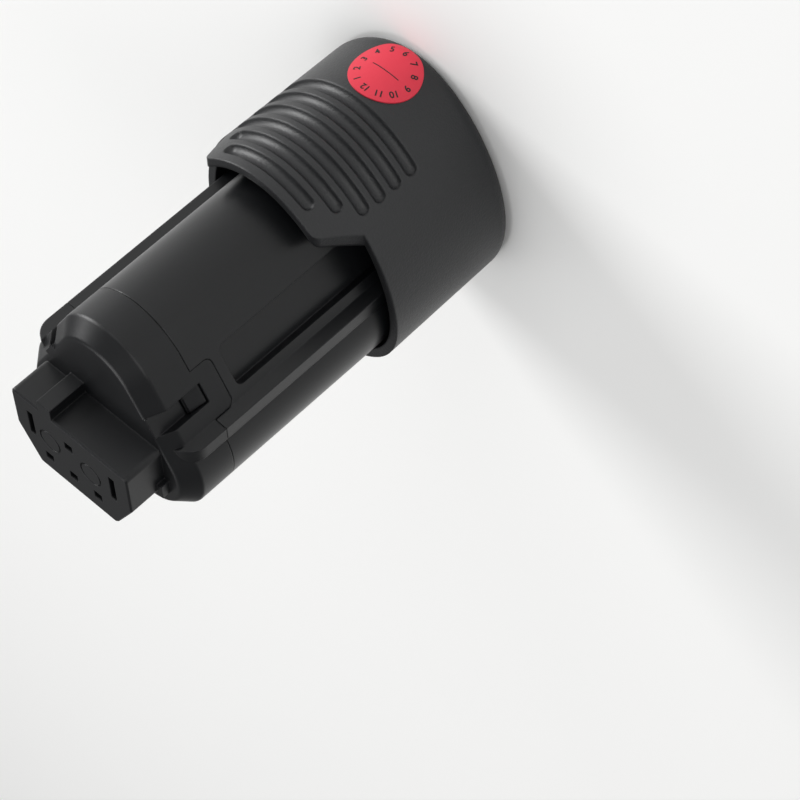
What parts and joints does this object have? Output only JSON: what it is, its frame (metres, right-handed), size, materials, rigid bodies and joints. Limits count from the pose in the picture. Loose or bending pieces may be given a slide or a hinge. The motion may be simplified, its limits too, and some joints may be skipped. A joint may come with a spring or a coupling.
{
  "type": "power tool battery pack",
  "caption": "Slide-in battery stick for a hand tool: ribbed egg-shaped grip collar, lobed cell housing, slotted terminal cap and a sprung release latch.",
  "frame": {"origin": "centre of the bounding box's bottom, on the face the pack stands on", "axes": "+Z from the base up to the terminals, -Y towards the finger ribs and the sticker, +Y towards the release latch"},
  "size_m": [0.051, 0.0582, 0.0948],
  "materials": {
    "grip_plastic": "fine moulded texture",
    "shell_plastic": "satin moulded",
    "label_film": "satin film",
    "sticker_film": "satin film",
    "cell_sleeve": "shrink sleeve",
    "fibre_board": "matte fibre",
    "spacer_plastic": "moulded",
    "nickel": "rolled",
    "contact_alloy": "stamped",
    "steel": "drawn",
    "foam": "closed cell",
    "circuit_board": "solder mask",
    "chip_plastic": "moulded",
    "lead_insulation": "extruded"
  },
  "bodies": {
    "pack": {"base_collar": "grip_plastic", "base_label": "label_film", "date_sticker": "sticker_film", "collar_screws": "steel", "stick_housing": "shell_plastic", "terminal_cap": "shell_plastic", "cell_front": "cell_sleeve", "cell_left": "cell_sleeve", "cell_right": "cell_sleeve", "insulator_rings": "fibre_board", "lower_cell_spacer": "spacer_plastic", "upper_cell_spacer": "spacer_plastic", "lower_link_strip": "nickel", "upper_link_strip": "nickel", "positive_strip": "nickel", "negative_riser_strip": "nickel", "foam_pad": "foam", "insulating_sheet": "fibre_board", "board_frame": "spacer_plastic", "protection_board": "circuit_board", "contact_carrier": "spacer_plastic", "switching_transistors": "chip_plastic", "control_chip": "chip_plastic", "chip_resistors": "chip_plastic", "thermistor_bead": "chip_plastic", "thermistor_leads": "lead_insulation", "latch_pin": "steel", "power_left_contact": "contact_alloy", "power_right_contact": "contact_alloy", "signal_front_contact": "contact_alloy", "signal_left_contact": "contact_alloy", "signal_middle_contact": "contact_alloy", "signal_right_contact": "contact_alloy"},
    "latch": {"release_latch": "shell_plastic", "latch_spring": "steel"}
  },
  "joints": [
    {"name": "latch_press", "type": "hinge", "parent": "pack", "child": "latch", "pos_m": [0, 0.02401, 0.011], "axis": [1, 0, 0], "range_deg": [0, 4], "stiffness_Nm_per_rad": 0.5, "springref_deg": -1.72}
  ]
}
